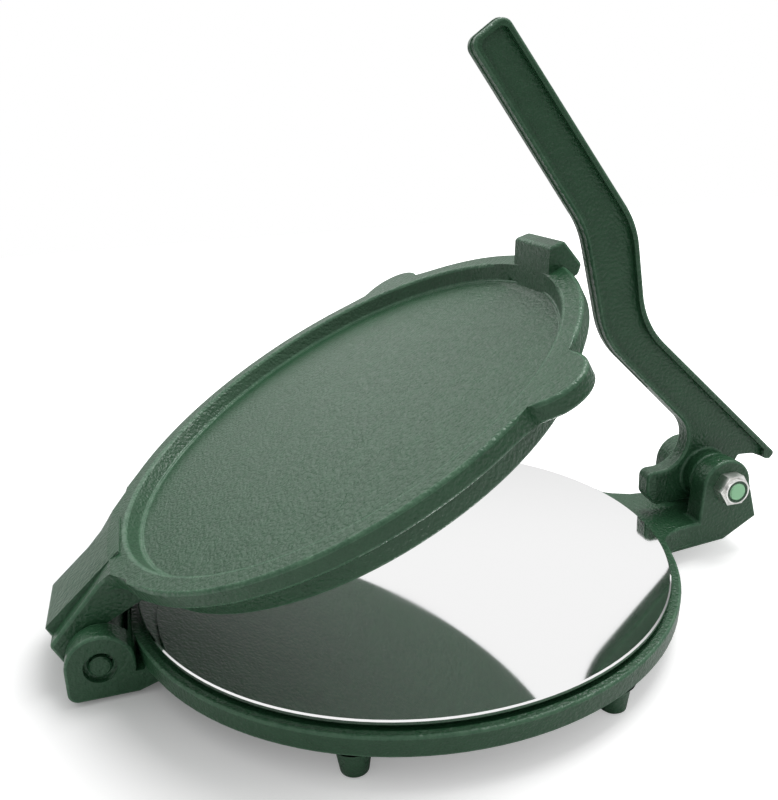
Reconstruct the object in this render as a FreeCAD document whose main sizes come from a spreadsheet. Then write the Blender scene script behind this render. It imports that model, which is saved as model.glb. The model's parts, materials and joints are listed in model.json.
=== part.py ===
import FreeCAD, Part
import Sketcher
import math
import os

# Cast iron flatbread press with a polished steel disc.
# Lengths are in millimetres and angles in degrees.
# The origin is on the table, under the middle of the whole press as it is drawn.
# +X runs from the plate's hinge to the lever's pivot, and the front is at -Y.
# The upper plate and the lever are drawn as they stand, part open.

DRIVING_SIZES = {
    # distance that the disc's axis stands left of the origin
    "disc_offset": 20.8,
    # polished disc
    "disc_radius": 110,
    "disc_thickness": 2,
    "disc_bevel": 0.5,
    # pan of the base casting
    "land_height": 20,
    "land_inset": 5,
    "base_web": 4,
    "rim_margin": 4,
    "rim_wall": 5,
    "rim_drop": 0.8,
    "rim_draft": 0.6,
    "groove_depth": 2.2,
    "groove_slope": 1,
    "skirt_bottom": 11,
    "boss_radius": 20,
    "rib_width": 6,
    "rib_drop": 4,
    "rib_count": 8,
    # feet of the base casting
    "foot_inset": 8,
    "foot_angle": 64.3,
    "foot_bottom_radius": 4.6,
    "foot_flare_angle": 9,
    "foot_bevel": 1,
    # plate hinge of the base casting, measured outwards and inwards from the rim
    "hinge_outset": 10,
    "hinge_height": 14.5,
    "hinge_ear_radius": 12.5,
    "hinge_ear_thickness": 10,
    "hinge_ear_bottom": 1.5,
    "hinge_ear_corner": 4,
    "hinge_gap": 48,
    "hinge_arm_top": 17.5,
    "hinge_arm_bottom": 8,
    "hinge_arm_inset": 22,
    "hinge_dip_height": 10.5,
    "hinge_dip_inset": 4,
    "hinge_rise_inset": 9,
    "hinge_flare_inset": 6,
    "hinge_flare_width": 26,
    "hinge_flare_length": 26,
    "pin_recess_margin": 1.4,
    "pin_recess_depth": 0.8,
    # lever clevis of the base casting, measured outwards and inwards from the rim
    "pivot_outset": 34,
    "pivot_height": 34.5,
    "clevis_ear_radius": 12,
    "clevis_ear_thickness": 10,
    "clevis_arm_top": 18.5,
    "clevis_arm_bottom": 6,
    "clevis_ear_spread": 1.5,
    "clevis_toe": 16.5,
    "clevis_toe_height": 17,
    "clevis_heel": 24,
    "clevis_heel_height": 8,
    "clevis_inset": 14,
    "clevis_flare_outset": 18,
    "clevis_flare_width": 20,
    # hinge pin
    "pin_diameter": 8,
    "running_clearance": 0.05,
    "pin_bevel": 0.6,
    # upper plate
    "plate_radius": 104.5,
    "plate_wall": 7.2,
    "recess_inset": 8,
    "recess_depth": 7,
    "recess_slope": 3,
    "press_inset": 7.5,
    "press_step": 11,
    "press_slope": 1.5,
    "closed_gap": 0.3,
    "barrel_radius": 10,
    "barrel_side_gap": 0.5,
    "barrel_floor_gap": 0.4,
    "tongue_lift": 0.7,
    "tongue_outer": 13,
    "tongue_end_height": 17,
    "tongue_step": 4,
    "tongue_overlap": 16,
    "blend_start": 14,
    "blend_length": 14.6,
    "blend_width": 20,
    "bar_width": 32,
    "bar_overlap": 6,
    "bar_raise": 1.2,
    "tab_angle": 57,
    "tab_radius": 15,
    "tab_reach": 11.5,
    "lug_width": 32,
    "lug_overlap": 12.5,
    "lug_rise_run": 9.5,
    "lug_top_run": 6.5,
    "lug_tip_run": 2.5,
    "lug_height": 9.5,
    "lug_fall": 1.2,
    "lug_tip_drop": 4,
    "lug_under_drop": 6.5,
    "plate_opening": 27,
    # lever
    "lever_length": 230,
    "lever_thickness": 8,
    "lever_web": 3,
    "lever_flange": 2.6,
    "lever_bend_round": 38,
    "lever_mouth_round": 14.1,
    "lever_grip_round": 4.5,
    "lever_nose_round": 3.5,
    "lever_tip_round": 1.6,
    "lever_panel_round": 3,
    "hub_radius": 11.5,
    "hub_length": 17,
    "hub_side_gap": 0.5,
    # bolt and nut
    "bolt_diameter": 8,
    "bolt_head_across": 13,
    "bolt_head_height": 5.3,
    "bolt_bevel": 0.6,
    "bolt_stand_out": 0.4,
    "nut_across": 13,
    "nut_height": 5.5,
    "nut_collar_margin": 1.8,
    "nut_collar_height": 1.4,
    "nut_collar_wall": 0.7,
    "overrun": 5,
}

# corners of the lever seen from the front, measured from its pivot, as shares of its length
LEVER_BACK_SHARES = [(-0.4343, 0.8722), (-0.1778, 0.5139), (-0.1517, 0.3248), (0.1626, 0.0213)]
LEVER_TAIL_SHARES = [(0.1504, 0.0070), (0.1152, 0.0230), (0.0826, 0.0230), (0.0543, -0.0261)]
LEVER_NOSE_SHARES = [(-0.0261, -0.0565), (-0.1065, -0.0565), (-0.1348, -0.0261), (-0.1348, 0.0217)]
LEVER_MOUTH_SHARES = [(0.0383, 0.0217)]
LEVER_FRONT_SHARES = [(-0.2378, 0.3004), (-0.2830, 0.5117), (-0.4978, 0.8278)]
LEVER_PANEL_FOOT_SHARES = [(0.1457, 0.0378), (0.1457, -0.087), (-0.1265, -0.087), (-0.1265, 0.0217)]

# corners of a flare's curve, as shares of its length from the narrow end and of its width
FLARE_SHARES = [(0.27, 0.06), (0.52, 0.22), (0.735, 0.5), (0.89, 0.8)]


class Size:
    """A number, and the expression over the spreadsheet's cells that gives it."""

    def __init__(self, number, words):
        self.number = number
        self.words = words

    def join(self, other, sign, number):
        words = other.words if isinstance(other, Size) else repr(other)
        return Size(number, "(" + self.words + " " + sign + " " + words + ")")

    def __add__(self, other):
        return self.join(other, "+", self.number + plain(other))

    def __sub__(self, other):
        return self.join(other, "-", self.number - plain(other))

    def __mul__(self, other):
        return self.join(other, "*", self.number * plain(other))

    def __truediv__(self, other):
        return self.join(other, "/", self.number / plain(other))

    def __neg__(self):
        return Size(-self.number, "(-1 * " + self.words + ")")


def plain(value):
    return value.number if isinstance(value, Size) else value


def cosine(angle):
    return Size(math.cos(math.radians(angle.number)), "cos(" + angle.words + " * 1 deg)")


def sine(angle):
    return Size(math.sin(math.radians(angle.number)), "sin(" + angle.words + " * 1 deg)")


doc = FreeCAD.newDocument("press")
sheet = doc.addObject("Spreadsheet::Sheet", "sizes")
size = {}
for row, (name, number) in enumerate(DRIVING_SIZES.items(), start=1):
    sheet.set("A%d" % row, name)
    sheet.set("B%d" % row, str(number))
    sheet.setAlias("B%d" % row, name)
    size[name] = Size(number, "sizes." + name)
doc.recompute()

nothing = Size(0, "0")
rim_radius = size["disc_radius"] + size["rim_margin"]
hinge_reach = rim_radius + size["hinge_outset"]
pivot_reach = rim_radius + size["pivot_outset"]
clevis_gap = size["hub_length"] + size["hub_side_gap"] * 2
clevis_width = clevis_gap + size["clevis_ear_thickness"] * 2
recess_radius = size["plate_radius"] - size["recess_inset"]
collar_radius = size["bolt_diameter"] / 2 + size["nut_collar_margin"]
subparts = []


def bind(item, path, value):
    """Let the spreadsheet drive a property."""
    item.setExpression(path, value.words)


def new_body(label):
    body = doc.addObject("PartDesign::Body", label)
    body.Label = label
    bind(body, ".Placement.Base.x", -size["disc_offset"])
    subparts.append(body)
    return body


def new_sketch(body, name, role, along=None, level=None):
    """A sketch on one of its body's origin planes, moved along and off that plane."""
    sketch = body.newObject("Sketcher::SketchObject", body.Name + "_" + name)
    plane = [item for item in body.Origin.OriginFeatures if item.Role == role][0]
    sketch.AttachmentSupport = [(plane, "")]
    sketch.MapMode = "FlatFace"
    if along is not None:
        bind(sketch, ".AttachmentOffset.Base.x", along)
    if level is not None:
        bind(sketch, ".AttachmentOffset.Base.z", level)
    return sketch


def hold(sketch, geometry, point, corner):
    """Tie one point of a sketch to its place, measured from the sketch's origin."""
    for kind, value in zip(("DistanceX", "DistanceY"), corner):
        number = sketch.addConstraint(
            Sketcher.Constraint(kind, -1, 1, geometry, point, value.number))
        if value is not nothing:
            sketch.setExpression("Constraints[%d]" % number, value.words)


def draw_outline(sketch, corners):
    """A closed outline of straight lines through corners given as pairs of sizes."""
    first = sketch.GeometryCount
    count = len(corners)
    for index in range(count):
        start = corners[index]
        end = corners[(index + 1) % count]
        line = Part.LineSegment(FreeCAD.Vector(start[0].number, start[1].number, 0),
                                FreeCAD.Vector(end[0].number, end[1].number, 0))
        sketch.addGeometry(line, False)
    for index in range(count):
        following = first + (index + 1) % count
        sketch.addConstraint(Sketcher.Constraint("Coincident", first + index, 2, following, 1))
    for index in range(count):
        hold(sketch, first + index, 1, corners[index])


def draw_circle(sketch, across, up, radius):
    circle = Part.Circle(FreeCAD.Vector(across.number, up.number, 0),
                         FreeCAD.Vector(0, 0, 1), radius.number)
    index = sketch.addGeometry(circle, False)
    hold(sketch, index, 3, (across, up))
    number = sketch.addConstraint(Sketcher.Constraint("Radius", index, radius.number))
    sketch.setExpression("Constraints[%d]" % number, radius.words)


def extrude(body, kind, sketch, length, both_ways=True, reverse=False, taper=None):
    """A Pad or Pocket of a sketch, through its plane or to one side of it."""
    feature = body.newObject("PartDesign::" + kind, sketch.Name + "_" + kind.lower())
    feature.Profile = sketch
    if both_ways:
        feature.SideType = "Symmetric"
    feature.Reversed = reverse
    bind(feature, "Length", length)
    if taper is not None:
        bind(feature, "TaperAngle", taper)
    return feature


def revolve(body, sketch):
    feature = body.newObject("PartDesign::Revolution", sketch.Name + "_turn")
    feature.Profile = sketch
    feature.ReferenceAxis = (sketch, ["V_Axis"])
    feature.Angle = 360
    return feature


def soften(body, radius, chosen):
    """Round the edges of the body's shape so far that the test picks."""
    doc.recompute()
    base = body.Tip
    names = ["Edge%d" % number for number, edge in enumerate(base.Shape.Edges, start=1)
             if chosen(edge)]
    feature = body.newObject("PartDesign::Fillet", base.Name + "_round")
    feature.Base = (base, names)
    bind(feature, "Radius", radius)
    return feature


def cut_round(body, sketch):
    """Turn a sketch about the vertical axis through its origin and cut it away."""
    feature = body.newObject("PartDesign::Groove", sketch.Name + "_cut")
    feature.Profile = sketch
    feature.ReferenceAxis = (sketch, ["V_Axis"])
    feature.Angle = 360
    return feature


def bevel(body, width, chosen):
    """Cut a narrow bevel on the edges of the body's shape so far that the test picks."""
    doc.recompute()
    base = body.Tip
    names = ["Edge%d" % number for number, edge in enumerate(base.Shape.Edges, start=1)
             if chosen(edge)]
    feature = body.newObject("PartDesign::Chamfer", base.Name + "_bevel")
    feature.Base = (base, names)
    bind(feature, "Size", width)
    return feature


def is_round(edge):
    return edge.Curve.TypeId == "Part::GeomCircle"


def flare(body, name, level, height, narrow, wide, near, far):
    """A flat web that widens in a curve from a narrow end to a wide one."""
    sketch = new_sketch(body, name, "XY_Plane", level=level)
    run = far - near
    spread = wide - narrow
    curve = [(near, narrow)]
    curve += [(near + run * along, narrow + spread * across) for along, across in FLARE_SHARES]
    curve.append((far, wide))
    mirrored = [(along, -across) for along, across in reversed(curve)]
    draw_outline(sketch, curve + mirrored)
    return extrude(body, "Pad", sketch, height, both_ways=False)


def spans(edge, axis):
    """True for a straight edge that runs along one axis, given as 0, 1 or 2."""
    if edge.Curve.TypeId != "Part::GeomLine":
        return False
    direction = edge.Curve.Direction
    return abs(abs(direction[axis]) - 1) < 1e-6


def make_disc():
    """Polished steel disc with a rounded edge, lying on the casting's land."""
    body = new_body("pressing_disc")
    sketch = new_sketch(body, "section", "XZ_Plane")
    low = size["land_height"]
    top = low + size["disc_thickness"]
    draw_outline(sketch, [(nothing, low), (size["disc_radius"], low),
                          (size["disc_radius"], top), (nothing, top)])
    revolve(body, sketch)
    bevel(body, size["disc_bevel"], is_round)
    return body


def make_base():
    """Base casting: a ribbed pan with a rim, four feet, hinge ears and a lever clevis."""
    body = new_body("base_plate")
    land = size["land_height"]
    land_radius = size["disc_radius"] - size["land_inset"]
    land_foot = land_radius + size["groove_slope"]
    web_under = land - size["base_web"]
    rim_top = land - size["rim_drop"]
    groove = land - size["groove_depth"]
    skirt_outer = rim_radius - size["rim_draft"]
    skirt_inner = skirt_outer - size["rim_wall"]
    rim_inner = rim_radius - size["rim_wall"] + size["groove_slope"]
    skirt = size["skirt_bottom"]

    section = new_sketch(body, "pan", "XZ_Plane")
    draw_outline(section, [
        (nothing, land), (land_foot, land), (land_foot, rim_top), (rim_radius, rim_top),
        (skirt_outer, skirt), (skirt_inner, skirt), (skirt_inner, web_under), (nothing, web_under)])
    revolve(body, section)

    under = size["base_web"] / 2
    rib = new_sketch(body, "rib", "XY_Plane", level=web_under - size["rib_drop"])
    half_rib = size["rib_width"] / 2
    rib_end = rim_radius - size["rim_wall"]
    draw_outline(rib, [(nothing, -half_rib), (rib_end, -half_rib),
                       (rib_end, half_rib), (nothing, half_rib)])
    rib_pad = extrude(body, "Pad", rib, size["rib_drop"] + under, both_ways=False)
    doc.recompute()
    ribs = body.newObject("PartDesign::PolarPattern", "ribs")
    ribs.Originals = [rib_pad]
    ribs.Axis = (rib, ["N_Axis"])
    ribs.Angle = 360
    bind(ribs, "Occurrences", size["rib_count"])
    body.Tip = ribs
    boss = new_sketch(body, "boss", "XY_Plane", level=web_under - size["rib_drop"])
    draw_circle(boss, nothing, nothing, size["boss_radius"])
    extrude(body, "Pad", boss, size["rib_drop"] + under, both_ways=False)

    feet = new_sketch(body, "feet", "XY_Plane")
    foot_ring = rim_radius - size["foot_inset"]
    foot_along = foot_ring * cosine(size["foot_angle"])
    foot_across = foot_ring * sine(size["foot_angle"])
    for along in (foot_along, -foot_along):
        for across in (foot_across, -foot_across):
            draw_circle(feet, along, across, size["foot_bottom_radius"])
    extrude(body, "Pad", feet, web_under + under, both_ways=False, taper=size["foot_flare_angle"])
    bevel(body, size["foot_bevel"], lambda edge: is_round(edge) and edge.BoundBox.ZMax < 1e-3)

    add_hinge_ears(body)
    add_clevis(body)

    ring = new_sketch(body, "groove", "XZ_Plane")
    clear = land + size["overrun"]
    draw_outline(ring, [
        (land_radius, land), (land_foot, groove), (rim_inner, groove),
        (rim_inner + size["groove_slope"], rim_top), (rim_inner + size["groove_slope"], clear),
        (land_radius, clear)])
    cut_round(body, ring)
    return body


def add_hinge_ears(body):
    """Two ears on flared arms, left of the rim, that carry the plate's pin."""
    axis_x = -hinge_reach
    axis_z = size["hinge_height"]
    width = size["hinge_gap"] + size["hinge_ear_thickness"] * 2
    half = width / 2
    radius = size["hinge_ear_radius"]
    bottom = size["hinge_ear_bottom"]
    low = size["hinge_arm_bottom"]
    top = size["hinge_arm_top"]
    dip = size["hinge_dip_height"]
    root = size["hinge_arm_inset"] - rim_radius
    rise = size["hinge_rise_inset"] - rim_radius
    near = size["hinge_flare_inset"] - rim_radius

    flare(body, "hinge_flare", low, top - low, half, half + size["hinge_flare_width"],
          near, near + size["hinge_flare_length"])
    arm = new_sketch(body, "hinge_arm", "XZ_Plane")
    draw_outline(arm, [(axis_x - radius, bottom), (axis_x + radius, bottom), (root, low), (root, top),
                       (rise, top), (rise - size["hinge_dip_inset"], dip), (axis_x, dip),
                       (axis_x, axis_z), (axis_x - radius, axis_z)])
    extrude(body, "Pad", arm, width)
    soften(body, size["hinge_ear_corner"],
           lambda edge: spans(edge, 1) and edge.BoundBox.XMax < axis_x.number - radius.number + 0.01
           and edge.BoundBox.ZMax < bottom.number + 0.01)
    ear = new_sketch(body, "hinge_ear", "XZ_Plane")
    draw_circle(ear, axis_x, axis_z, radius)
    extrude(body, "Pad", ear, width)

    gap = new_sketch(body, "hinge_gap", "XZ_Plane")
    clear = axis_x - radius - size["overrun"]
    floor_start = axis_x + size["barrel_radius"] + size["barrel_floor_gap"]
    ceiling = axis_z + radius + size["overrun"]
    draw_outline(gap, [(clear, -size["overrun"]), (floor_start, -size["overrun"]),
                       (floor_start, ceiling), (clear, ceiling)])
    extrude(body, "Pocket", gap, size["hinge_gap"])

    bore = new_sketch(body, "hinge_bore", "XZ_Plane")
    draw_circle(bore, axis_x, axis_z, size["pin_diameter"] / 2)
    extrude(body, "Pocket", bore, width + size["overrun"])
    for name, side in (("front", 1), ("back", -1)):
        recess = new_sketch(body, "pin_recess_" + name, "XZ_Plane", level=half * side)
        draw_circle(recess, axis_x, axis_z, size["pin_diameter"] / 2 + size["pin_recess_margin"])
        extrude(body, "Pocket", recess, size["pin_recess_depth"] * 2)


def add_clevis(body):
    """A forked arm, right of the rim, whose ears carry the lever's bolt."""
    axis_x = pivot_reach
    axis_z = size["pivot_height"]
    half = clevis_width / 2
    radius = size["clevis_ear_radius"]
    top = size["clevis_arm_top"]
    bottom = size["clevis_arm_bottom"]
    root = rim_radius - size["clevis_inset"]

    flare_bottom = bottom + size["base_web"] / 2
    flare(body, "clevis_flare", flare_bottom, top - flare_bottom, half,
          half + size["clevis_flare_width"], rim_radius + size["clevis_flare_outset"], root)
    arm = new_sketch(body, "clevis_arm", "XZ_Plane")
    draw_outline(arm, [
        (root, bottom), (axis_x - size["clevis_heel"], bottom),
        (axis_x, size["clevis_heel_height"]), (axis_x + size["clevis_toe"], size["clevis_toe_height"]),
        (axis_x + radius, axis_z), (axis_x - radius, axis_z),
        (axis_x - radius - size["clevis_ear_spread"], top), (root, top)])
    extrude(body, "Pad", arm, clevis_width)
    ear = new_sketch(body, "clevis_ear", "XZ_Plane")
    draw_circle(ear, axis_x, axis_z, radius)
    extrude(body, "Pad", ear, clevis_width)

    gap = new_sketch(body, "clevis_gap", "XZ_Plane")
    near = axis_x - radius - size["overrun"]
    far = axis_x + size["clevis_toe"] + size["overrun"]
    ceiling = axis_z + radius + size["overrun"]
    draw_outline(gap, [(near, top), (far, top), (far, ceiling), (near, ceiling)])
    extrude(body, "Pocket", gap, clevis_gap)

    bore = new_sketch(body, "clevis_bore", "XZ_Plane")
    draw_circle(bore, axis_x, axis_z, size["bolt_diameter"] / 2 + size["running_clearance"])
    extrude(body, "Pocket", bore, clevis_width + size["overrun"])


def make_hinge_pin():
    """Plain steel pin, pressed into both hinge ears."""
    body = new_body("hinge_pin")
    length = size["hinge_gap"] + size["hinge_ear_thickness"] * 2 - size["pin_recess_depth"]
    sketch = new_sketch(body, "section", "XZ_Plane")
    draw_circle(sketch, -hinge_reach, size["hinge_height"], size["pin_diameter"] / 2)
    extrude(body, "Pad", sketch, length)
    bevel(body, size["pin_bevel"], is_round)
    return body


def make_upper_plate():
    """Upper casting, drawn shut with its hinge at the origin and then swung open."""
    body = new_body("upper_plate")
    face = size["land_height"] + size["disc_thickness"] + size["closed_gap"] - size["hinge_height"]
    under = face + size["press_step"]
    top = under + size["plate_wall"]
    radius = size["plate_radius"]
    press_radius = radius - size["press_inset"]
    recess_floor = top - size["recess_depth"]

    section = new_sketch(body, "section", "XZ_Plane", along=hinge_reach)
    draw_outline(section, [
        (nothing, face), (press_radius, face), (press_radius + size["press_slope"], under),
        (radius, under), (radius, top), (nothing, top)])
    revolve(body, section)
    tabs = new_sketch(body, "tabs", "XY_Plane", level=under)
    tab_centre = radius + size["tab_reach"] - size["tab_radius"]
    for side in (1, -1):
        draw_circle(tabs, hinge_reach + tab_centre * cosine(size["tab_angle"]),
                    tab_centre * sine(size["tab_angle"]) * side, size["tab_radius"])
    extrude(body, "Pad", tabs, size["plate_wall"], both_ways=False)

    add_tongue(body, face, under, top)
    recess = new_sketch(body, "recess", "XZ_Plane", along=hinge_reach)
    draw_outline(recess, [
        (nothing, recess_floor), (recess_radius - size["recess_slope"], recess_floor),
        (recess_radius, top), (recess_radius, top + size["overrun"]),
        (nothing, top + size["overrun"])])
    cut_round(body, recess)
    add_bar(body, top)
    add_lug(body, top, recess_floor)

    bore = new_sketch(body, "bore", "XZ_Plane")
    draw_circle(bore, nothing, nothing, size["pin_diameter"] / 2 + size["running_clearance"])
    extrude(body, "Pocket", bore, size["hinge_gap"] + size["overrun"])

    opening = FreeCAD.Rotation(FreeCAD.Vector(0, -1, 0), size["plate_opening"].number)
    hinge_x = -hinge_reach - size["disc_offset"]
    hinge = FreeCAD.Vector(hinge_x.number, 0, size["hinge_height"].number)
    body.Placement = FreeCAD.Placement(hinge, opening)
    bind(body, ".Placement.Base.x", hinge_x)
    bind(body, ".Placement.Base.z", size["hinge_height"])
    bind(body, ".Placement.Rotation.Angle", size["plate_opening"])
    return body


def add_tongue(body, face, under, top):
    """Barrel on the hinge pin, and a sloping tongue that widens into the plate's edge."""
    barrel_width = size["hinge_gap"] - size["barrel_side_gap"] * 2
    barrel = new_sketch(body, "barrel", "XZ_Plane")
    draw_circle(barrel, nothing, nothing, size["barrel_radius"])
    extrude(body, "Pad", barrel, barrel_width)

    outer = -size["tongue_outer"]
    low = size["tongue_end_height"] - size["tongue_step"]
    edge = hinge_reach - size["plate_radius"]
    meet = edge + size["tongue_step"] / 2
    root = edge + size["tongue_overlap"]
    below = face + size["tongue_lift"]
    tongue = new_sketch(body, "tongue", "XZ_Plane")
    draw_outline(tongue, [
        (outer, low), (outer, nothing), (nothing, nothing), (nothing, below), (root, below),
        (root, top), (meet, top)])
    extrude(body, "Pad", tongue, barrel_width)

    near = size["blend_start"]
    far = near + size["blend_length"]
    narrow = barrel_width / 2
    spread = size["blend_width"]
    wide = narrow + spread
    near_top = low + (top - low) * ((near - outer) / (meet - outer))
    blend = new_sketch(body, "blend", "XZ_Plane")
    draw_outline(blend, [(near, under), (root, under), (root, top), (meet, top), (near, near_top)])
    extrude(body, "Pad", blend, wide * 2)
    trim = new_sketch(body, "blend_trim", "XY_Plane", level=under)
    start = near - size["overrun"]
    beyond = wide + size["overrun"]
    curve = [(near + size["blend_length"] * along, narrow + spread * across)
             for along, across in FLARE_SHARES]
    corners = [(start, narrow), (near, narrow)] + curve + [(far, wide), (far, beyond), (start, beyond)]
    draw_outline(trim, corners)
    draw_outline(trim, [(along, -across) for along, across in corners])
    extrude(body, "Pocket", trim, size["plate_wall"] + size["overrun"], both_ways=False, reverse=True)


def add_bar(body, top):
    """Raised bar along the tongue, from its outer end to the edge of the recess."""
    outer = -size["tongue_outer"]
    end = size["tongue_end_height"]
    inner = hinge_reach - size["plate_radius"] + size["bar_overlap"]
    bar = new_sketch(body, "bar", "XZ_Plane")
    draw_outline(bar, [
        (outer, end), (outer, nothing), (nothing, nothing),
        (inner, top - size["plate_wall"] / 2), (inner, top + size["bar_raise"])])
    extrude(body, "Pad", bar, size["bar_width"])


def add_lug(body, top, recess_floor):
    """Striking lug opposite the hinge, where the lever bears."""
    lug = new_sketch(body, "lug", "XZ_Plane")
    foot = hinge_reach + size["plate_radius"] - size["lug_overlap"]
    inner = foot + size["lug_rise_run"]
    outer = inner + size["lug_top_run"]
    tip = outer + size["lug_tip_run"]
    peak = top + size["lug_height"]
    draw_outline(lug, [
        (foot, recess_floor), (inner, peak), (outer, peak - size["lug_fall"]),
        (tip, top - size["lug_tip_drop"]), (outer, top - size["lug_under_drop"])])
    extrude(body, "Pad", lug, size["lug_width"])


def make_lever():
    """Cranked lever with an I section, a hub on the bolt, a nose and a tail."""
    body = new_body("lever")
    length = size["lever_length"]

    def corners(shares):
        return [(length * across, length * up) for across, up in shares]

    def round_corners(radius, points):
        soften(body, radius, lambda edge: near_corner(edge, points))

    bends = LEVER_BACK_SHARES[1:3] + LEVER_FRONT_SHARES[:2]
    grip = [LEVER_BACK_SHARES[0], LEVER_FRONT_SHARES[2]]
    outline = new_sketch(body, "outline", "XZ_Plane")
    draw_outline(outline, corners(LEVER_BACK_SHARES + LEVER_TAIL_SHARES + LEVER_NOSE_SHARES
                                  + LEVER_MOUTH_SHARES + LEVER_FRONT_SHARES))
    extrude(body, "Pad", outline, size["lever_thickness"])
    round_corners(size["lever_bend_round"], corners(bends))
    round_corners(size["lever_mouth_round"], corners(LEVER_MOUTH_SHARES))
    round_corners(size["lever_grip_round"], corners(grip))
    round_corners(size["lever_nose_round"], corners(LEVER_NOSE_SHARES[1:]))
    round_corners(size["lever_tip_round"], corners([LEVER_BACK_SHARES[3], LEVER_TAIL_SHARES[0]]))

    panel_shares = (LEVER_BACK_SHARES[:3] + LEVER_PANEL_FOOT_SHARES + LEVER_MOUTH_SHARES
                    + LEVER_FRONT_SHARES)
    panel_corners = inset(panel_shares, length, size["lever_flange"])
    for name, side in (("front", 1), ("back", -1)):
        panel = new_sketch(body, "panel_" + name, "XZ_Plane", level=size["lever_web"] / 2 * side)
        draw_outline(panel, panel_corners)
        extrude(body, "Pocket", panel, size["lever_thickness"], both_ways=False, reverse=side > 0)
    first_bend = len(LEVER_BACK_SHARES[:3] + LEVER_PANEL_FOOT_SHARES)
    mouth = panel_corners[first_bend]
    round_corners(size["lever_bend_round"], panel_corners[1:3] + panel_corners[first_bend + 1:-1])
    round_corners(size["lever_mouth_round"] + size["lever_flange"], [mouth])
    round_corners(size["lever_panel_round"], [panel_corners[0], panel_corners[-1]])

    hub = new_sketch(body, "hub", "XZ_Plane")
    draw_circle(hub, nothing, nothing, size["hub_radius"])
    extrude(body, "Pad", hub, size["hub_length"])
    bore = new_sketch(body, "bore", "XZ_Plane")
    draw_circle(bore, nothing, nothing, size["bolt_diameter"] / 2 + size["running_clearance"])
    extrude(body, "Pocket", bore, size["hub_length"] + size["overrun"])
    bind(body, ".Placement.Base.x", pivot_reach - size["disc_offset"])
    bind(body, ".Placement.Base.z", size["pivot_height"])
    return body


def inset(shares, length, wall):
    """Corners of an outline drawn in shares of a length, moved inwards by a wall."""
    moved = []
    count = len(shares)
    for index in range(count):
        before, corner, after = shares[index - 1], shares[index], shares[(index + 1) % count]
        normals = []
        for start, end in ((before, corner), (corner, after)):
            across, up = end[0] - start[0], end[1] - start[1]
            run = math.hypot(across, up)
            normals.append((up / run, -across / run))
        (x1, z1), (x2, z2) = normals
        spread = 1 + x1 * x2 + z1 * z2
        moved.append((length * corner[0] + wall * ((x1 + x2) / spread),
                      length * corner[1] + wall * ((z1 + z2) / spread)))
    return moved


def near_corner(edge, corners):
    """True for an edge across the lever at one of its outline's corners."""
    if not spans(edge, 1):
        return False
    place = edge.CenterOfMass
    return any(abs(place.x - across.number) + abs(place.z - up.number) < 0.01
               for across, up in corners)


def hexagon(sketch, across, up, width):
    """A hexagon with two flats level, given the distance across its flats."""
    half = width / 2
    point = half * (2 / math.sqrt(3))
    step = point / 2
    draw_outline(sketch, [(across + point, up), (across + step, up + half), (across - step, up + half),
                          (across - point, up), (across - step, up - half), (across + step, up - half)])


def make_bolt():
    """Hexagon bolt through the clevis and the lever, with its head at the back."""
    body = new_body("pivot_bolt")
    across = pivot_reach
    up = size["pivot_height"]
    half = clevis_width / 2
    shank_length = clevis_width + size["nut_height"] + size["nut_collar_height"] + size["bolt_stand_out"]
    shank = new_sketch(body, "shank", "XZ_Plane", level=-half)
    draw_circle(shank, across, up, size["bolt_diameter"] / 2)
    extrude(body, "Pad", shank, shank_length, both_ways=False)
    bevel(body, size["bolt_bevel"], lambda edge: is_round(edge) and edge.BoundBox.YMax < 0)
    head = new_sketch(body, "head", "XZ_Plane", level=-half)
    hexagon(head, across, up, size["bolt_head_across"])
    extrude(body, "Pad", head, size["bolt_head_height"], both_ways=False, reverse=True)
    return body


def make_lock_nut():
    """Hexagon lock nut at the front, with a round collar that holds its insert."""
    body = new_body("lock_nut")
    across = pivot_reach
    up = size["pivot_height"]
    seat = clevis_width / 2
    outline = new_sketch(body, "outline", "XZ_Plane", level=seat)
    hexagon(outline, across, up, size["nut_across"])
    extrude(body, "Pad", outline, size["nut_height"], both_ways=False)
    collar = new_sketch(body, "collar", "XZ_Plane", level=seat)
    draw_circle(collar, across, up, collar_radius)
    extrude(body, "Pad", collar, size["nut_height"] + size["nut_collar_height"], both_ways=False)
    pocket = new_sketch(body, "insert_seat", "XZ_Plane", level=seat + size["nut_height"])
    draw_circle(pocket, across, up, collar_radius - size["nut_collar_wall"])
    extrude(body, "Pocket", pocket, size["nut_collar_height"] * 2)
    bore = new_sketch(body, "bore", "XZ_Plane", level=seat)
    draw_circle(bore, across, up, size["bolt_diameter"] / 2 + size["running_clearance"])
    extrude(body, "Pocket", bore, size["nut_height"] * 4)
    return body


def make_nut_insert():
    """Locking ring inside the nut's collar."""
    body = new_body("nut_insert")
    across = pivot_reach
    up = size["pivot_height"]
    seat = clevis_width / 2 + size["nut_height"]
    ring = new_sketch(body, "ring", "XZ_Plane", level=seat)
    draw_circle(ring, across, up, collar_radius - size["nut_collar_wall"])
    extrude(body, "Pad", ring, size["nut_collar_height"], both_ways=False)
    bore = new_sketch(body, "bore", "XZ_Plane", level=seat)
    draw_circle(bore, across, up, size["bolt_diameter"] / 2 + size["running_clearance"])
    extrude(body, "Pocket", bore, size["nut_collar_height"] * 4)
    return body


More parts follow.
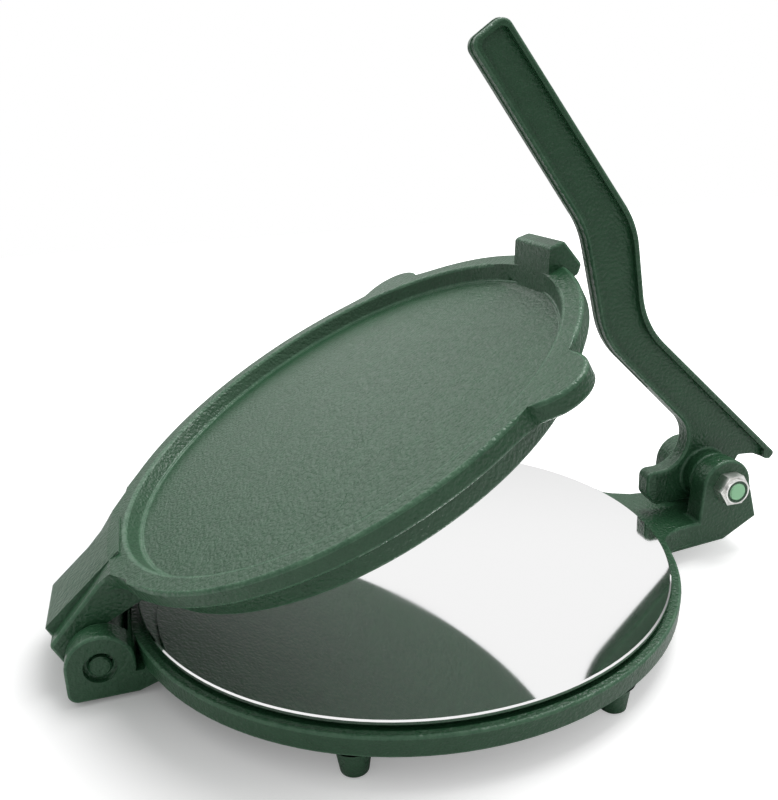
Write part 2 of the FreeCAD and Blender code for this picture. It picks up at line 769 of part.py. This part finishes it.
def write_parts():
    """Check every object and write each sub-part to its own file."""
    doc.recompute()
    for item in doc.Objects:
        if "Invalid" in item.State or "Error" in item.State:
            raise RuntimeError(item.Name + " failed: " + str(item.State))
    os.makedirs("parts", exist_ok=True)
    for item in subparts:
        shape = item.Shape
        if shape.isNull() or not shape.isValid():
            raise RuntimeError(item.Label + " has no valid shape")
        shape.exportStep("parts/" + item.Label + ".step")
        box = shape.BoundBox
        print(item.Label, "solids", len(shape.Solids), "volume", round(shape.Volume),
              "box", [round(value, 1) for value in
                      (box.XMin, box.XMax, box.YMin, box.YMax, box.ZMin, box.ZMax)])


make_disc()
make_base()
make_hinge_pin()
make_upper_plate()
make_lever()
make_bolt()
make_lock_nut()
make_nut_insert()
write_parts()
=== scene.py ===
import json
import math
import bpy
import bmesh
from mathutils import Matrix, Vector


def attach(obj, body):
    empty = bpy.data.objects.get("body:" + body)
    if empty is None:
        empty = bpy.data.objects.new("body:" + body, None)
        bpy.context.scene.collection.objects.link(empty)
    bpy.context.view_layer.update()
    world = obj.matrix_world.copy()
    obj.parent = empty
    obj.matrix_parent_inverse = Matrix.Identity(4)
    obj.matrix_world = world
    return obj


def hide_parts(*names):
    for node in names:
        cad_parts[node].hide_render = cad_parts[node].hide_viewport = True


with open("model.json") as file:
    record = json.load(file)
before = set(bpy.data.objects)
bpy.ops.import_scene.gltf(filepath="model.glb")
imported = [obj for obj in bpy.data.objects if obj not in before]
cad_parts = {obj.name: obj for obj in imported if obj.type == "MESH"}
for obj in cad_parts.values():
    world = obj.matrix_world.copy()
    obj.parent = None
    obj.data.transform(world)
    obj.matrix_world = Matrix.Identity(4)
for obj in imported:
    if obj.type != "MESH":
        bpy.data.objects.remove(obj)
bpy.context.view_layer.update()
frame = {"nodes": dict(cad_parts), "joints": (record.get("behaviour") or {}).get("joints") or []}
joints = {joint["name"]: joint for joint in frame["joints"]}
print("stage: frame loaded")


# small helpers for objects and node trees
def addObject(name, data):
    item = bpy.data.objects.new(name, data)
    bpy.context.scene.collection.objects.link(item)
    return item


def solidOf(piece):
    return bpy.data.meshes.new_from_object(piece.evaluated_get(bpy.context.evaluated_depsgraph_get()))


def newMaterial(name):
    material = bpy.data.materials.new(name)
    material.use_nodes = True
    material.node_tree.nodes.clear()
    return material, material.node_tree


def addNode(tree, kind, x, y):
    node = tree.nodes.new(kind)
    node.location = (x, y)
    return node


def setInputs(node, values):
    for name, value in values.items():
        node.inputs[name].default_value = value


def join(tree, start, end):
    tree.links.new(start, end)


def objectCoords(tree, x=-1400, y=0):
    return addNode(tree, "ShaderNodeTexCoord", x, y).outputs["Object"]


def noise(tree, coords, x, y, scale, detail, rough=0.5):
    node = addNode(tree, "ShaderNodeTexNoise", x, y)
    setInputs(node, {"Scale": scale, "Detail": detail, "Roughness": rough})
    join(tree, coords, node.inputs["Vector"])
    return node.outputs["Fac"]


def spread(tree, value, old, new, x, y):
    node = addNode(tree, "ShaderNodeMapRange", x, y)
    setInputs(node, {"From Min": old[0], "From Max": old[1], "To Min": new[0], "To Max": new[1]})
    join(tree, value, node.inputs["Value"])
    return node.outputs["Result"]


def combine(tree, operation, first, second, x, y):
    node = addNode(tree, "ShaderNodeMath", x, y)
    node.operation = operation
    join(tree, first, node.inputs[0])
    join(tree, second, node.inputs[1])
    return node.outputs["Value"]


def blendColours(tree, factor, first, second, x, y):
    node = addNode(tree, "ShaderNodeMix", x, y)
    node.data_type = "RGBA"
    ends = [socket for socket in node.inputs if socket.type == "RGBA"]
    ends[0].default_value = (*first, 1)
    ends[1].default_value = (*second, 1)
    join(tree, factor, node.inputs["Factor"])
    return [socket for socket in node.outputs if socket.type == "RGBA"][0]


def addBump(tree, height, strength, depth, x, y):
    node = addNode(tree, "ShaderNodeBump", x, y)
    setInputs(node, {"Strength": strength, "Distance": depth})
    join(tree, height, node.inputs["Height"])
    return node


def showShader(tree, shader, x):
    output = addNode(tree, "ShaderNodeOutputMaterial", x, 0)
    join(tree, shader, output.inputs["Surface"])


# green paint over cast iron, painted lighter on the castings' rounded edges as a painted highlight in
# place of their gloss
greenPaint = {
    "colour": (0.022, 0.080, 0.036),
    "deep": (0.016, 0.062, 0.027),
    # painted highlight: the two lighter greens below are for the castings' rounded edges
    "edge": (0.060, 0.145, 0.080),
    "edgeHighlightDeep": (0.026, 0.088, 0.044),
    "shine": 0.4,
    "band": (0.3, 0.7),  # the part of each noise that is used
    "roughness": (0.30, 0.42),
    "tone": {"scale": 140, "detail": 5, "rough": 0.7},
    "grain": {"scale": 720, "detail": 1},
    "grainBump": {"strength": 1, "depth": 0.00045},
    "lumps": {"scale": 90, "detail": 4},
    "lumpBump": {"strength": 0.35, "depth": 0.0006},
}


def makePaint(name, light, deep):
    material, tree = newMaterial(name)
    coords = objectCoords(tree)
    band = greenPaint["band"]
    grain = noise(tree, coords, -1100, 200, **greenPaint["grain"])
    lumps = noise(tree, coords, -1100, -100, **greenPaint["lumps"])
    tone = noise(tree, coords, -1100, -400, **greenPaint["tone"])
    shader = addNode(tree, "ShaderNodeBsdfPrincipled", 200, 0)
    shader.inputs["Specular IOR Level"].default_value = greenPaint["shine"]
    share = spread(tree, tone, band, (0, 1), -800, -400)
    join(tree, blendColours(tree, share, light, deep, -500, -300), shader.inputs["Base Color"])
    join(tree, spread(tree, grain, band, greenPaint["roughness"], -500, 0), shader.inputs["Roughness"])
    wide = addBump(tree, lumps, x=-500, y=-600, **greenPaint["lumpBump"])
    close = addBump(tree, grain, x=-200, y=-600, **greenPaint["grainBump"])
    join(tree, wide.outputs["Normal"], close.inputs["Normal"])
    join(tree, close.outputs["Normal"], shader.inputs["Normal"])
    showShader(tree, shader.outputs["BSDF"], 500)
    return material


# mirror polished steel of the disc
mirrorSteel = {
    "colour": (0.90, 0.90, 0.90),
    "haze": {"scale": 14, "detail": 4},
    "band": (0.3, 0.7),
    "roughness": (0.035, 0.070),
}


def makeMirror(name):
    material, tree = newMaterial(name)
    haze = noise(tree, objectCoords(tree), -900, 0, **mirrorSteel["haze"])
    shader = addNode(tree, "ShaderNodeBsdfPrincipled", 200, 0)
    setInputs(shader, {"Metallic": 1, "Base Color": (*mirrorSteel["colour"], 1)})
    join(tree, spread(tree, haze, mirrorSteel["band"], mirrorSteel["roughness"], -500, 0),
         shader.inputs["Roughness"])
    showShader(tree, shader.outputs["BSDF"], 500)
    return material


# zinc plated bolt and nut, the bolt's front end touched with light green paint
zincPlate = {
    "colour": (0.88, 0.88, 0.86),
    "dull": (0.62, 0.62, 0.60),
    "spots": {"scale": 260, "detail": 3},
    "dullBand": (0.35, 0.65),
    "roughBand": (0.3, 0.7),
    "roughness": (0.26, 0.42),
    "bump": {"strength": 0.2, "depth": 0.0001},
    "endPaint": (0.32, 0.66, 0.38),
    "endRoughness": 0.35,
    "paintFrom": -0.0258,  # the paint covers what stands farther to the front
}


def makeZinc(name, paintedEnd=False):
    material, tree = newMaterial(name)
    coords = objectCoords(tree)
    spots = noise(tree, coords, -1100, 0, **zincPlate["spots"])
    shader = addNode(tree, "ShaderNodeBsdfPrincipled", 300, 0)
    shader.inputs["Metallic"].default_value = 1
    share = spread(tree, spots, zincPlate["dullBand"], (0, 1), -800, -200)
    join(tree, blendColours(tree, share, zincPlate["colour"], zincPlate["dull"], -500, -200),
         shader.inputs["Base Color"])
    join(tree, spread(tree, spots, zincPlate["roughBand"], zincPlate["roughness"], -500, 100),
         shader.inputs["Roughness"])
    pits = addBump(tree, spots, x=-200, y=-500, **zincPlate["bump"])
    join(tree, pits.outputs["Normal"], shader.inputs["Normal"])
    surface = shader.outputs["BSDF"]
    if paintedEnd:
        surface = paintEnd(tree, coords, surface)
    showShader(tree, surface, 800)
    return material


def paintEnd(tree, coords, metal):
    paint = addNode(tree, "ShaderNodeBsdfPrincipled", 300, -500)
    setInputs(paint, {"Base Color": (*zincPlate["endPaint"], 1), "Roughness": zincPlate["endRoughness"]})
    place = addNode(tree, "ShaderNodeSeparateXYZ", -800, -700)
    join(tree, coords, place.inputs["Vector"])
    ahead = addNode(tree, "ShaderNodeMath", -500, -700)
    ahead.operation = "LESS_THAN"
    ahead.inputs[1].default_value = zincPlate["paintFrom"]
    join(tree, place.outputs["Y"], ahead.inputs[0])
    mix = addNode(tree, "ShaderNodeMixShader", 600, 0)
    join(tree, ahead.outputs["Value"], mix.inputs[0])
    join(tree, metal, mix.inputs[1])
    join(tree, paint.outputs["BSDF"], mix.inputs[2])
    return mix.outputs["Shader"]


paintedIron = makePaint("paintedIron", greenPaint["colour"], greenPaint["deep"])
# painted highlight: the lighter green paint that the rounded edges take
edgeHighlightPaint = makePaint("edgeHighlightPaint", greenPaint["edge"], greenPaint["edgeHighlightDeep"])
mirrorDisc = makeMirror("mirrorDisc")
zincBolt = makeZinc("zincBolt", paintedEnd=True)
zincNut = makeZinc("zincNut")
print("stage: materials made")


# the moulded hollow around each end of the hinge pin
pinHollow = {
    "face": 0.034,  # from the middle to the outside of a hinge ear
    "radius": 0.0060,
    "depth": 0.0022,
    "sides": 48,
}


def sinkPinEnds(piece):
    across, middle, up = joints["plate_hinge"]["pos_m"]
    for side in (1, -1):
        cutter = bpy.data.meshes.new("pinHollow")
        work = bmesh.new()
        bmesh.ops.create_cone(work, cap_ends=True, segments=pinHollow["sides"],
                              radius1=pinHollow["radius"], radius2=pinHollow["radius"],
                              depth=pinHollow["depth"] * 2)
        bmesh.ops.rotate(work, matrix=Matrix.Rotation(math.radians(90), 3, "X"), verts=work.verts)
        bmesh.ops.translate(work, vec=(across, middle + pinHollow["face"] * side, up), verts=work.verts)
        work.to_mesh(cutter)
        work.free()
        tool = addObject("pinHollow", cutter)
        cut = piece.modifiers.new("hollow", "BOOLEAN")
        cut.operation = "DIFFERENCE"
        cut.solver = "EXACT"
        cut.object = tool
        piece.data = solidOf(piece)
        piece.modifiers.clear()
        bpy.data.objects.remove(tool)


# how the castings' edges are rounded: angles in degrees, room in widths of the rounding
rounding = {
    "sharp": 32,  # an edge is sharp from this angle
    "fold": 125,  # a rounding that folds over itself shows at this angle
    "straight": 0.85,  # two edges run on as one when they are nearly in line
    "roomBeside": 1.2,
    "roomBetween": 2.2,  # where the other end is rounded too
    "roomAtFold": 1.3,
    "tries": 8,
    "profile": 0.5,
    "flatFirst": 100,  # in the shading, 50 counts all faces alike and more favours the large ones
}


def isSharp(edge):
    return len(edge.link_faces) == 2 and edge.calc_face_angle(0) > math.radians(rounding["sharp"])


def hasRoom(vert, ends, sharp, width):
    beside = width * rounding["roomBeside"]
    between = width * rounding["roomBetween"]
    for other in vert.link_edges:
        if other in sharp:
            continue
        shared = any(edge in sharp for edge in other.other_vert(vert).link_edges)
        if other.calc_length() < (between if shared else beside):
            return False
    ways = [(edge.other_vert(vert).co - vert.co).normalized() for edge in ends]
    runsOn = len(ends) == 2 and ways[0].dot(ways[1]) < -rounding["straight"]
    return runsOn or all(edge.calc_length() >= between for edge in ends)


# the sharp edges with room beside them, without those farther out and lower than the given place
def roomyEdges(work, width, beyond, below):
    sharp = {edge for edge in work.edges if isSharp(edge)
             and not all(vert.co.x > beyond and vert.co.z < below for vert in edge.verts)}
    crowded = set()
    for vert in work.verts:
        ends = [edge for edge in vert.link_edges if edge in sharp]
        if ends and not hasRoom(vert, ends, sharp, width):
            crowded.update(ends)
    return [edge for edge in work.edges if edge in sharp and edge not in crowded]


def edgeDistance(place, edge):
    start, end = (vert.co for vert in edge.verts)
    along = end - start
    share = max(0, min(1, (place - start).dot(along) / (along.length_squared or 1)))
    return (start + along * share - place).length


def foldPlaces(work):
    folded = [edge for edge in work.edges if len(edge.link_faces) == 2
              and edge.calc_face_angle(0) > math.radians(rounding["fold"])
              and any(face.material_index == 1 for face in edge.link_faces)]
    return [(edge.verts[0].co + edge.verts[1].co) / 2 for edge in folded]


# rounds the edges, and starts again without those whose rounding folds over itself
def roundEdges(mesh, width, segments, beyond, below):
    folds = []
    for attempt in range(rounding["tries"]):
        work = bmesh.new()
        work.from_mesh(mesh)
        edges = [edge for edge in roomyEdges(work, width, beyond, below)
                 if all(edgeDistance(place, edge) > width * rounding["roomAtFold"] for place in folds)]
        # the rounded faces take the second material, the lighter paint of the painted highlight
        bmesh.ops.bevel(work, geom=edges, offset=width, offset_type="OFFSET", segments=segments,
                        profile=rounding["profile"], affect="EDGES", clamp_overlap=False, material=1,
                        loop_slide=True)
        bmesh.ops.recalc_face_normals(work, faces=work.faces)
        found = foldPlaces(work)
        print("rounded", len(edges), "edges, folds", len(found))
        folds += found
        if not found or attempt == rounding["tries"] - 1:
            break
        work.free()
    for face in work.faces:
        face.smooth = True
    work.to_mesh(mesh)
    work.free()


cleaning = {
    "samePlace": 1e-6,
    "flat": 1.0,  # faces that turn by less than this many degrees are one
}


# a copy of a node's mesh with one corner where several meet and one face where all is flat
def cleanCopy(node):
    mesh = frame["nodes"][node].data.copy()
    mesh.name = node + "_casting"
    work = bmesh.new()
    work.from_mesh(mesh)
    bmesh.ops.remove_doubles(work, verts=work.verts, dist=cleaning["samePlace"])
    bmesh.ops.dissolve_limit(work, angle_limit=math.radians(cleaning["flat"]), verts=work.verts,
                             edges=work.edges)
    work.to_mesh(mesh)
    work.free()
    mesh.materials.clear()
    mesh.materials.append(paintedIron)
    # the second material paints the rounded edges lighter, a painted highlight
    mesh.materials.append(edgeHighlightPaint)  # for the rounded edges
    return mesh


# shading that keeps flat faces flat beside their rounded edges
def shadeEvenly(piece):
    piece.data.set_sharp_from_angle(angle=math.radians(rounding["sharp"]))
    weigh = piece.modifiers.new("evenFaces", "WEIGHTED_NORMAL")
    weigh.keep_sharp = True
    weigh.weight = rounding["flatFirst"]
    solid = solidOf(piece)
    piece.modifiers.clear()
    piece.data = solid


# the three castings: the CAD shape with its edges rounded, as a sand casting has them
castings = {
    "upper_plate": {"body": "plate", "width": 0.0013, "segments": 4},
    # the strip under the clevis's slot is too thin for a rounding
    "base_plate": {"body": "base", "width": 0.0011, "segments": 4, "beyond": 0.1425, "below": 0.019},
    "lever": {"body": "lever", "width": 0.0012, "segments": 4},
}


def dressCasting(node, body, width, segments, beyond=1, below=0):
    piece = addObject(node + "_casting", cleanCopy(node))
    if node == "base_plate":
        sinkPinEnds(piece)
    roundEdges(piece.data, width, segments, beyond, below)
    shadeEvenly(piece)
    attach(piece, body)
    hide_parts(node)


for node, values in castings.items():
    dressCasting(node, **values)
    print("stage: casting", node)


# a node tree that sweeps a round bead along a path, which its caller joins on
def beadTree(name, material, inputs):
    tree = bpy.data.node_groups.new(name, "GeometryNodeTree")
    for title, kind in inputs.items():
        tree.interface.new_socket(title, in_out="INPUT", socket_type="NodeSocket" + kind)
    tree.interface.new_socket("Solid", in_out="OUTPUT", socket_type="NodeSocketGeometry")
    start = addNode(tree, "NodeGroupInput", -1100, 0)
    ring = addNode(tree, "GeometryNodeCurvePrimitiveCircle", -600, -200)
    sweep = addNode(tree, "GeometryNodeCurveToMesh", -300, 0)
    real = addNode(tree, "GeometryNodeRealizeInstances", -100, 0)
    paint = addNode(tree, "GeometryNodeSetMaterial", 100, 0)
    paint.inputs["Material"].default_value = material
    end = addNode(tree, "NodeGroupOutput", 300, 0)
    join(tree, start.outputs["Sides"], ring.inputs["Resolution"])
    join(tree, start.outputs["Bead"], ring.inputs["Radius"])
    join(tree, ring.outputs["Curve"], sweep.inputs["Profile Curve"])
    join(tree, sweep.outputs["Mesh"], real.inputs["Geometry"])
    join(tree, real.outputs["Geometry"], paint.inputs["Geometry"])
    join(tree, paint.outputs["Geometry"], end.inputs["Solid"])
    return tree, start, sweep


def beadMesh(piece, tree, values):
    sweep = piece.modifiers.new("bead", "NODES")
    sweep.node_group = tree
    sockets = {item.name: item.identifier for item in tree.interface.items_tree}
    for title, value in values.items():
        sweep[sockets[title]] = value
    solid = solidOf(piece)
    piece.modifiers.clear()
    piece.data = solid
    for face in solid.polygons:
        face.use_smooth = True
    return solid


# the parting seam that the mould leaves around the lever's edge
leverSeam = {
    "bead": 0.0004,
    "step": 0.0015,
    "sides": 8,
    "clearOfPivot": 0.034,
}


def seamTree():
    tree, start, sweep = beadTree("castingSeam", paintedIron,
                                  {"Path": "Geometry", "Bead": "Float", "Step": "Float", "Sides": "Int"})
    line = addNode(tree, "GeometryNodeMeshToCurve", -800, 100)
    even = addNode(tree, "GeometryNodeResampleCurve", -600, 100)
    even.mode = "LENGTH"
    sweep.inputs["Fill Caps"].default_value = True
    join(tree, start.outputs["Path"], line.inputs["Mesh"])
    join(tree, line.outputs["Curve"], even.inputs["Curve"])
    join(tree, start.outputs["Step"], even.inputs["Length"])
    join(tree, even.outputs["Curve"], sweep.inputs["Curve"])
    return tree


# the lever's outline in its middle plane, left out around the pivot
def leverOutline():
    work = bmesh.new()
    work.from_mesh(frame["nodes"]["lever"].data)
    bmesh.ops.remove_doubles(work, verts=work.verts, dist=cleaning["samePlace"])
    cut = bmesh.ops.bisect_plane(work, geom=work.verts[:] + work.edges[:] + work.faces[:],
                                 plane_co=(0, 0, 0), plane_no=(0, 1, 0))["geom_cut"]
    pivot = Vector(joints["lever_pivot"]["pos_m"])
    spots = {}
    lines = []
    for edge in cut:
        if not isinstance(edge, bmesh.types.BMEdge):
            continue
        if min((vert.co - pivot).length for vert in edge.verts) > leverSeam["clearOfPivot"]:
            lines.append([spots.setdefault(vert, len(spots)) for vert in edge.verts])
    places = [vert.co.copy() for vert in spots]
    work.free()
    return places, lines


def makeSeam():
    places, lines = leverOutline()
    mesh = bpy.data.meshes.new("lever_seam")
    mesh.from_pydata(places, lines, [])
    seam = addObject("lever_seam", mesh)
    beadMesh(seam, seamTree(), {"Bead": leverSeam["bead"], "Step": leverSeam["step"],
                                "Sides": leverSeam["sides"]})
    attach(seam, "lever")


makeSeam()
print("stage: lever seam")


# the rounded foot of the recess's wall, in the lighter edge paint as a painted highlight, placed as the
# plate lies shut and then swung open
recessFoot = {
    "radius": 0.0936,
    "bead": 0.0009,
    "steps": 180,
    "sides": 10,
    "reach": 0.124,  # from the hinge to the middle of the plate
    "level": 0.0188,  # over the hinge
}


def footTree():
    # the bead takes the lighter edge paint, a painted highlight along the recess's foot
    tree, start, sweep = beadTree("recessFoot", edgeHighlightPaint,
                                  {"Start": "Geometry", "Radius": "Float", "Bead": "Float",
                                   "Steps": "Int", "Sides": "Int"})
    circle = addNode(tree, "GeometryNodeCurvePrimitiveCircle", -600, 100)
    join(tree, start.outputs["Radius"], circle.inputs["Radius"])
    join(tree, start.outputs["Steps"], circle.inputs["Resolution"])
    join(tree, circle.outputs["Curve"], sweep.inputs["Curve"])
    return tree


def makeRecessFoot():
    ring = addObject("recess_foot", bpy.data.meshes.new("recess_foot"))
    solid = beadMesh(ring, footTree(), {"Radius": recessFoot["radius"], "Bead": recessFoot["bead"],
                                        "Steps": recessFoot["steps"], "Sides": recessFoot["sides"]})
    hinge = joints["plate_hinge"]
    shutAngle = math.radians(hinge["range_deg"][0])
    swing = Matrix.Rotation(shutAngle, 4, "Y")
    shut = Matrix.Translation((recessFoot["reach"], 0, recessFoot["level"]))
    solid.transform(Matrix.Translation(hinge["pos_m"]) @ swing @ shut)
    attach(ring, "plate")


makeRecessFoot()
print("stage: recess foot")


# the small parts keep the CAD's meshes
smallParts = {
    "pressing_disc": mirrorDisc,
    "hinge_pin": paintedIron,
    "pivot_bolt": zincBolt,
    "lock_nut": zincNut,
    "nut_insert": paintedIron,
}

for node, material in smallParts.items():
    mesh = frame["nodes"][node].data
    mesh.materials.clear()
    mesh.materials.append(material)
print("stage: small parts painted")


# a matt floor that glows for the camera, more so away from the press, so that it looks white except for
# its shade; the dimmer glow near the press is a painted shadow that stays in place in every pose
floorLook = {
    "reach": 1.3,
    "colour": (0.80, 0.80, 0.80),
    # the painted shadow is darkest at this middle and fades out between the two distances below
    "middle": (-0.105, 0.035, 0),
    "paintedShadowReach": (0.05, 0.36),
    "glow": (0.05, 0.85),
}


def makeFloor():
    mesh = bpy.data.meshes.new("floor")
    reach = floorLook["reach"]
    mesh.from_pydata([(-reach, -reach, 0), (reach, -reach, 0), (reach, reach, 0), (-reach, reach, 0)],
                     [], [(0, 1, 2, 3)])
    floor = addObject("floor", mesh)
    material, tree = newMaterial("paleFloor")
    rays = addNode(tree, "ShaderNodeLightPath", -900, 200)
    seen = combine(tree, "MAXIMUM", rays.outputs["Is Camera Ray"], rays.outputs["Is Transmission Ray"],
                   -700, 200)
    distance = addNode(tree, "ShaderNodeVectorMath", -1100, 500)
    distance.operation = "DISTANCE"
    distance.inputs[1].default_value = floorLook["middle"]
    join(tree, objectCoords(tree, -1300, 500), distance.inputs[0])
    # the glow rises with distance from the middle: a painted shadow around the press
    paintedShadowFade = spread(tree, distance.outputs["Value"], floorLook["paintedShadowReach"], floorLook["glow"], -800, 500)
    glow = addNode(tree, "ShaderNodeEmission", -100, 200)
    join(tree, combine(tree, "MULTIPLY", seen, paintedShadowFade, -300, 200), glow.inputs["Strength"])
    matt = addNode(tree, "ShaderNodeBsdfDiffuse", -100, -100)
    matt.inputs["Color"].default_value = (*floorLook["colour"], 1)
    both = addNode(tree, "ShaderNodeAddShader", 150, 0)
    join(tree, glow.outputs["Emission"], both.inputs[0])
    join(tree, matt.outputs["BSDF"], both.inputs[1])
    showShader(tree, both.outputs["Shader"], 400)
    mesh.materials.append(material)


# a world that is white above and dimmer towards the horizon, as under a soft box
skyLook = {
    "heights": (0.10, 0.48),
    "levels": (0.33, 1.0),
    "mattShare": 0.65,  # what matt surfaces take of it, while shiny ones take it in full
}


def makeWorld():
    world = bpy.data.worlds.new("studio")
    bpy.context.scene.world = world
    world.use_nodes = True
    tree = world.node_tree
    tree.nodes.clear()
    way = addNode(tree, "ShaderNodeTexCoord", -1300, -200)
    parts = addNode(tree, "ShaderNodeSeparateXYZ", -1100, -200)
    join(tree, way.outputs["Generated"], parts.inputs["Vector"])
    soft = addNode(tree, "ShaderNodeMapRange", -900, -200)
    soft.interpolation_type = "SMOOTHSTEP"
    low, high = skyLook["heights"]
    dim, bright = skyLook["levels"]
    setInputs(soft, {"From Min": low, "From Max": high, "To Min": dim, "To Max": bright})
    join(tree, parts.outputs["Z"], soft.inputs["Value"])
    rays = addNode(tree, "ShaderNodeLightPath", -1300, 300)
    shiny = combine(tree, "MAXIMUM", rays.outputs["Is Glossy Ray"], rays.outputs["Is Transmission Ray"],
                    -1100, 200)
    share = spread(tree, shiny, (0, 1), (skyLook["mattShare"], 1), -900, 200)
    lit = combine(tree, "MULTIPLY", soft.outputs["Result"], share, -600, 0)
    sky = addNode(tree, "ShaderNodeBackground", 0, 0)
    sky.inputs["Color"].default_value = (1, 1, 1, 1)
    join(tree, combine(tree, "MAXIMUM", rays.outputs["Is Camera Ray"], lit, -300, 200),
         sky.inputs["Strength"])
    output = addNode(tree, "ShaderNodeOutputWorld", 300, 0)
    join(tree, sky.outputs["Background"], output.inputs["Surface"])


# a large soft lamp above and one behind
lamps = {
    "topLamp": {"place": (0.40, 0.25, 1.35), "target": (0, 0, 0), "size": 0.9, "power": 16},
    "backLamp": {"place": (-0.35, 1.3, 0.85), "target": (0, 0, 0.08), "size": 1.0, "power": 2.8},
}


def addLamp(name, place, target, size, power):
    lamp = bpy.data.lights.new(name, "AREA")
    lamp.shape = "SQUARE"
    lamp.size = size
    lamp.energy = power
    holder = addObject(name, lamp)
    holder.location = place
    holder.rotation_euler = (Vector(target) - Vector(place)).to_track_quat("-Z", "Y").to_euler()


makeFloor()
makeWorld()
for name, values in lamps.items():
    addLamp(name, **values)
print("stage: studio lit")


# camera where the photographer stood, its lens in pixels of the photo
viewpoint = {
    "place": (-0.1124, -0.3164, 0.1973),
    "right": (0.9615, -0.2711, -0.0456),
    "up": (0.1176, 0.2557, 0.9596),
    "focalPixels": 849.15,
    "centrePixels": (376.97, 370.0),
    "picture": (778, 800),
    "sensor": 36,
    "nearest": 0.01,
}


def makeCamera():
    lens = bpy.data.cameras.new("camera")
    holder = addObject("camera", lens)
    right = Vector(viewpoint["right"]).normalized()
    back = right.cross(Vector(viewpoint["up"])).normalized()
    up = back.cross(right)
    turn = Matrix((right, up, back)).transposed()
    holder.matrix_world = Matrix.Translation(viewpoint["place"]) @ turn.to_4x4()
    width, height = viewpoint["picture"]
    centreAcross, centreDown = viewpoint["centrePixels"]
    lens.sensor_width = viewpoint["sensor"]
    lens.lens = viewpoint["focalPixels"] * lens.sensor_width / height
    lens.shift_x = (width / 2 - centreAcross) / height
    lens.shift_y = (centreDown - height / 2) / height
    lens.clip_start = viewpoint["nearest"]
    bpy.context.scene.camera = holder


makeCamera()
bpy.context.scene.view_settings.view_transform = "Standard"
print("stage: finished")
